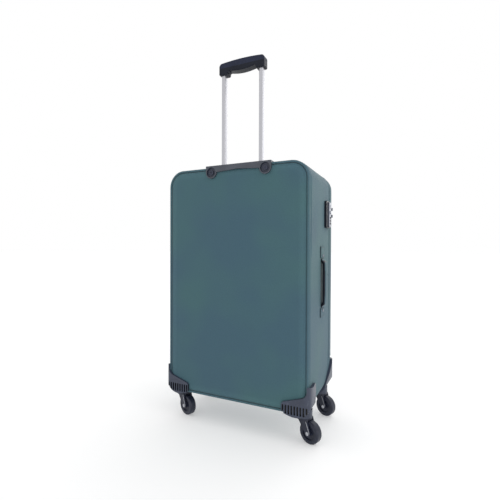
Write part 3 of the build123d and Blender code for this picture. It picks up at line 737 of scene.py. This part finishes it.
top_low, top_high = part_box("top_handle_tabs")
strap_low, strap_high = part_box("top_handle")
top_out = top_high.z - tab_sunk
left_end = (strap_low.x - tab_gap, top_high.y, top_out)
right_start = (strap_high.x + tab_gap, top_low.y, top_low.z)
left_tab = handle_tab("top_tab_left", top_low, left_end, 2)
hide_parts("top_handle_tabs")
handle_tab("top_tab_right", right_start, (top_high.x, top_high.y, top_out), 2)

# ---------------------------------------------------------------- front pocket zip
# A straight coil zip on a woven tape, sewn above the pocket. Its two coils run side by side down
# the middle of the tape.
tape_low, tape_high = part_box("pocket_zip")
coil_round = 0.0009
tape_top = (tape_high.x, tape_high.y - 0.0006, tape_high.z)
pocket_tape = rounded_slab("pocket_zip_tape", tape_low, tape_top, 0.006, 1)
roll_edge(pocket_tape, 1, 1, (0.0012, 0.0003), (0.0022, 0.0), (0.0009, -0.0005))
done(pocket_tape, "lid", "zip_cloth", dark_tape)
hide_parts("pocket_zip")
tape_mid = (tape_low + tape_high) / 2
for name, shift in (("pocket_coil_upper", coil_round), ("pocket_coil_lower", -coil_round)):
    bpy.ops.object.select_all(action="DESELECT")
    bpy.ops.mesh.primitive_cylinder_add(
        vertices=10,
        radius=coil_round,
        depth=tape_high.x - tape_low.x - 0.016,
        location=(tape_mid.x, tape_high.y - 0.0011, tape_mid.z + shift),
        rotation=(0, math.radians(90), 0),
    )
    pocket_coil = named(name)
    pick(pocket_coil, "FACE", lambda place, way: abs(way.x) > 0.9)
    bpy.ops.mesh.inset(thickness=0.0003, depth=0.0003)
    done(pocket_coil, "lid", "zip_cloth", coil)

# ---------------------------------------------------------------- inside the case
# A net pocket on the lid, two packing straps, the hinge tape, and a lining hump over the trolley's
# tubes.
net_low, net_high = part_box("lid_net")
bpy.ops.object.select_all(action="DESELECT")
bpy.ops.mesh.primitive_grid_add(
    x_subdivisions=44,
    y_subdivisions=36,
    size=1,
    location=(net_low + net_high) / 2,
    rotation=(math.radians(90), 0, 0),
)
net = named("lid_net_mesh")
net.scale = (net_high.x - net_low.x - 0.01, net_high.z - net_low.z - 0.01, 1)
bpy.ops.object.transform_apply(location=True, rotation=True, scale=True)
apply(net, "WIREFRAME", thickness=0.0012)
done(net, "lid", "zip_cloth", dark_tape, smooth=0)
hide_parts("lid_net")
net_bind = rounded_slab("lid_net_binding", net_low, net_high, 0.01, 1)
pick(net_bind, "FACE", lambda place, way: abs(way.y) > 0.9)
bpy.ops.mesh.inset(thickness=0.008, depth=0, use_even_offset=True)
bpy.ops.mesh.bridge_edge_loops()
done(net_bind, "lid", "zip_cloth", dark_tape)

straps_low, straps_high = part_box("packing_straps")
buckle_low, buckle_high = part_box("packing_buckle")
tuck = 0.002
for name, low_x, high_x in (
    ("packing_strap_left", straps_low.x, buckle_low.x + tuck),
    ("packing_strap_right", buckle_high.x - tuck, straps_high.x),
):
    start = (low_x, straps_low.y, straps_low.z)
    end = (high_x, straps_high.y, straps_high.z)
    strap = rounded_slab(name, start, end, 0.002, 1)
    roll_edge(strap, 1, 1, (0.0015, 0.0002), (0.001, -0.0003), (0.001, 0.0003))
    done(strap, "case", "zip_cloth", dark_tape)
    if name.endswith("left"):
        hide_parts("packing_straps")

hinge_low, hinge_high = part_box("hinge_tape")
hinge_tape = rounded_slab("hinge_tape_cloth", hinge_low, hinge_high, 0.003, 1)
roll_edge(hinge_tape, 1, -1, (0.002, 0.0002), (0.001, -0.0003), (0.001, 0.0003))
done(hinge_tape, "case", "zip_cloth", dark_tape)
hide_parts("hinge_tape")

hump_corner = 0.006
hump_low, hump_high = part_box("tube_cover")
hump = rounded_slab("tube_cover_lining", hump_low, hump_high, 0.001, 2)
pick(hump, "EDGE", lambda place, along: place.y > hump_high.y - 0.002 and abs(along.z) > 0.9 * along.length)
bpy.ops.mesh.bevel(offset=hump_corner, segments=3, affect="EDGES")
leave()
pick(hump, "FACE", lambda place, way: way.y < -0.9)
bpy.ops.mesh.delete(type="FACE")
apply(hump, "SOLIDIFY", thickness=0.0022, offset=-1.0)
face_out(hump)
done(hump, "case", "lining", lining_cloth)
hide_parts("tube_cover")

# ---------------------------------------------------------------- moulded plastic
# Guards, forks, bumpers, bezel and grip are dark moulded nylon with a fine grain and small pale
# scuffs. The grip's cover is softer to the touch, with a coarser grain.
def moulded(name, colour, worn, roughness, grain=0.0002, gloss=0.5):
    """Grained plastic with patches a little darker and lighter, and fine pale scuffs."""
    material, tree, shader, place = new_material(name, roughness)
    shader.inputs["Specular IOR Level"].default_value = gloss
    body = mixed(tree, noise(tree, place, 24.0), [c * 0.85 for c in colour], [c * 1.15 for c in colour])
    scuffs = mixed(tree, noise(tree, place, 150.0, 6.0), (0, 0, 0), (0.7, 0.7, 0.7), 0.6, 0.74)
    tree.links.new(blended(tree, scuffs, body, worn), shader.inputs["Base Color"])
    raise_by(tree, shader, noise(tree, place, 1400.0, 1.0), grain, 0.5)
    return material


def inside(tree, value, low, high):
    """An output that is 1 where a value lies between two others, and 0 elsewhere."""
    node = tree.nodes.new("ShaderNodeMath")
    node.operation = "COMPARE"
    tree.links.new(value, node.inputs[0])
    node.inputs[1].default_value = (low + high) / 2
    node.inputs[2].default_value = (high - low) / 2
    return node.outputs[0]


def product(tree, first, second):
    node = tree.nodes.new("ShaderNodeMath")
    node.operation = "MULTIPLY"
    tree.links.new(first, node.inputs[0])
    tree.links.new(second, node.inputs[1])
    return node.outputs[0]


def darken(material, low, high, shade, centre_x=0.0):
    """Paint shade over whatever lies between two corners, with x measured as a distance from a centre."""
    tree = material.node_tree
    shader = shader_of(material)
    painted = shader.inputs["Base Color"].links[0].from_socket
    place = next(node for node in tree.nodes if node.type == "TEX_COORD").outputs["Object"]
    parts = tree.nodes.new("ShaderNodeSeparateXYZ")
    tree.links.new(place, parts.inputs[0])
    across = tree.nodes.new("ShaderNodeMath")
    across.operation = "SUBTRACT"
    across.inputs[1].default_value = centre_x
    tree.links.new(parts.outputs[0], across.inputs[0])
    distance = tree.nodes.new("ShaderNodeMath")
    distance.operation = "ABSOLUTE"
    tree.links.new(across.outputs[0], distance.inputs[0])
    where = inside(tree, distance.outputs[0], low[0], high[0])
    for axis in (1, 2):
        where = product(tree, where, inside(tree, parts.outputs[axis], low[axis], high[axis]))
    tree.links.new(blended(tree, where, painted, shade), shader.inputs["Base Color"])


def repaint(material, *nodes):
    for node in nodes:
        piece = frame["nodes"][node]
        piece.data.materials.clear()
        piece.data.materials.append(material)


guard_plastic = moulded("guard_plastic", (0.026, 0.034, 0.06), (0.06, 0.07, 0.1), 0.38)
plate_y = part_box("guard_back_right")[0].y
slots_low, slots_high = 0.084, 0.11
slot_painted_shade = (0.002, 0.0025, 0.004)
# Painted shade: the bottoms of the slots in the guards' back plates are painted near black, standing in for
# the shadow inside them.
darken(
    guard_plastic,
    (0, plate_y + 0.0014, slots_low),
    (case_half.x - 0.001, plate_y + 0.0064, slots_high),
    slot_painted_shade,
    case_centre.x,
)
fork_plastic = moulded("fork_plastic", (0.012, 0.015, 0.03), (0.035, 0.04, 0.058), 0.34, gloss=0.35)
trim_plastic = moulded("trim_plastic", (0.045, 0.052, 0.068), (0.075, 0.082, 0.098), 0.4)
grip_plastic = moulded("grip_plastic", (0.005, 0.007, 0.014), (0.018, 0.021, 0.03), 0.36, gloss=0.2)
soft_grip = moulded("soft_grip", (0.009, 0.013, 0.032), (0.018, 0.024, 0.044), 0.5, 0.0003, gloss=0.25)
corners = [f"{end}_{flank}" for end in ("back", "front") for flank in ("left", "right")]
repaint(guard_plastic, "side_bumpers", *[f"guard_{corner}" for corner in corners])
repaint(fork_plastic, *[f"fork_{corner}" for corner in corners])
pocket_from_middle = 0.084
pocket_round = 0.0145
pocket_painted_shade = (0.012, 0.017, 0.035)
# Painted shade: the screw pockets in the bezel's end lobes are painted dark, standing in for the shadow
# inside them.
darken(
    trim_plastic,
    (pocket_from_middle - pocket_round, tray_low.y + 0.003, tray_low.z),
    (pocket_from_middle + pocket_round, tray_low.y + 0.0055, tray_high.z - 0.004),
    pocket_painted_shade,
    tray_middle,
)
repaint(trim_plastic, "trolley_bezel")
repaint(grip_plastic, "grip_body", "grip_button", "latch_plugs", "trolley_foot")
repaint(grip_plastic, "packing_buckle", "lock_housing")
repaint(soft_grip, "grip_cover")
repaint(moulded("board_plastic", (0.1, 0.1, 0.1), (0.14, 0.14, 0.14), 0.6), "base_board")

# ---------------------------------------------------------------- painted highlights on the forks
# Each arm of a fork carries a slim raised strip of pale, glossy plastic along its leading edge,
# from the swivel seat down to the axle. Its pale colour is a painted highlight, standing in for the light
# caught along the arm's edge.
# Painted highlight: the strips' pale plastic stands in for the light along each arm's edge.
rib_painted_highlight = moulded("rib_painted_highlight", (0.3, 0.31, 0.34), (0.42, 0.43, 0.46), 0.2, 0.00005)
joints = frame["record"]["behaviour"]["joints"]
places = {joint["name"]: Vector(joint["pos_m"]) for joint in joints if "pos_m" in joint}
arm_outside = 0.015
rib_wide, rib_deep, rib_lift = 0.0015, 0.0014, 0.0003
rib_top_z, rib_top_lead = 0.0605, 0.0158
rib_low_z, rib_low_lead = 0.0315, 0.0064
for corner in corners:
    swivel = places[f"swivel_{corner}"]
    axle = places[f"roll_{corner}"]
    trail = Vector((axle.x - swivel.x, axle.y - swivel.y, 0)).normalized()
    across = Vector((trail.y, -trail.x, 0))
    top = Vector((swivel.x, swivel.y, rib_top_z)) + trail * rib_top_lead
    low = Vector((axle.x, axle.y, rib_low_z)) + trail * rib_low_lead
    along = (low - top).normalized()
    for side_name, way in (("near", 1), ("far", -1)):
        bpy.ops.object.select_all(action="DESELECT")
        bpy.ops.mesh.primitive_cube_add(
            size=1,
            location=(top + low) / 2 + across * way * (arm_outside + rib_lift),
            rotation=Matrix((along.cross(across), across, along)).transposed().to_euler(),
            scale=(rib_wide, rib_deep, (top - low).length),
        )
        highlight_strip = named(f"fork_rib_{corner}_{side_name}")
        bpy.ops.object.transform_apply(location=True, rotation=True, scale=True)
        apply(highlight_strip, "BEVEL", width=0.0004, segments=2)
        face_out(highlight_strip)
        done(highlight_strip, f"fork_{corner}", "guard_plastic", rib_painted_highlight)

# ---------------------------------------------------------------- wheels
# Hub and tread are one dark, fairly hard rubber, a little lighter and darker in patches, with a
# fine bump all over.
wheel_rubber, tree, shader, place = new_material("wheel_rubber", 0.42)
shader.inputs["Specular IOR Level"].default_value = 0.35
tread = mixed(tree, noise(tree, place, 70.0), (0.01, 0.013, 0.026), (0.02, 0.024, 0.04))
tree.links.new(tread, shader.inputs["Base Color"])
raise_by(tree, shader, noise(tree, place, 600.0, 2.0), 0.0002, 0.4)
repaint(wheel_rubber, *[f"wheel_{corner}" for corner in corners])

# ---------------------------------------------------------------- bare metal
# Anodised tubes drawn along their length, plated lock and zip parts, plain steel axles, and
# blackened screws.
def drawn_metal(name, colour, roughness, stretch, metallic=1.0):
    """Metal with fine lines along the axis that stretch leaves small."""
    material, tree, shader, place = new_material(name, roughness, metallic)
    squeeze = tree.nodes.new("ShaderNodeMapping")
    squeeze.inputs["Scale"].default_value = stretch
    tree.links.new(place, squeeze.inputs["Vector"])
    lines = noise(tree, squeeze.outputs["Vector"], 1.0, 4.0)
    drawn_colour = mixed(tree, lines, [c * 0.93 for c in colour], [min(1, c * 1.05) for c in colour])
    tree.links.new(drawn_colour, shader.inputs["Base Color"])
    raise_by(tree, shader, lines, 0.00005, 0.3)
    return material


tube_metal = drawn_metal("tube_aluminium", (0.5, 0.5, 0.53), 0.3, (2400, 2400, 6))
bright_metal = drawn_metal("bright_metal", (0.14, 0.155, 0.19), 0.3, (300, 300, 300))
steel = drawn_metal("axle_steel", (0.5, 0.51, 0.54), 0.3, (900, 900, 900))
repaint(tube_metal, "inner_tubes", "outer_tubes", "push_rods")
repaint(
    bright_metal,
    "lock_cover",
    "lock_button",
    "key_cylinder",
    "zip_slider_lower",
    "zip_slider_upper",
    "pocket_slider",
    "handle_rivets",
    "button_spring",
)
repaint(steel, *[f"axle_{corner}" for corner in corners])
repaint(drawn_metal("black_zinc", (0.05, 0.056, 0.08), 0.35, (700, 700, 700), 0.8), "bezel_screws")

# ---------------------------------------------------------------- number wheels
# Black moulded wheels, a little glossier than the housing round them. They carry no numbers.
dial_plastic, tree, shader, place = new_material("dial_plastic", 0.3)
dial_black = mixed(tree, noise(tree, place, 200.0), (0.01, 0.01, 0.012), (0.03, 0.03, 0.034))
tree.links.new(dial_black, shader.inputs["Base Color"])
repaint(dial_plastic, "dial_low", "dial_middle", "dial_high")
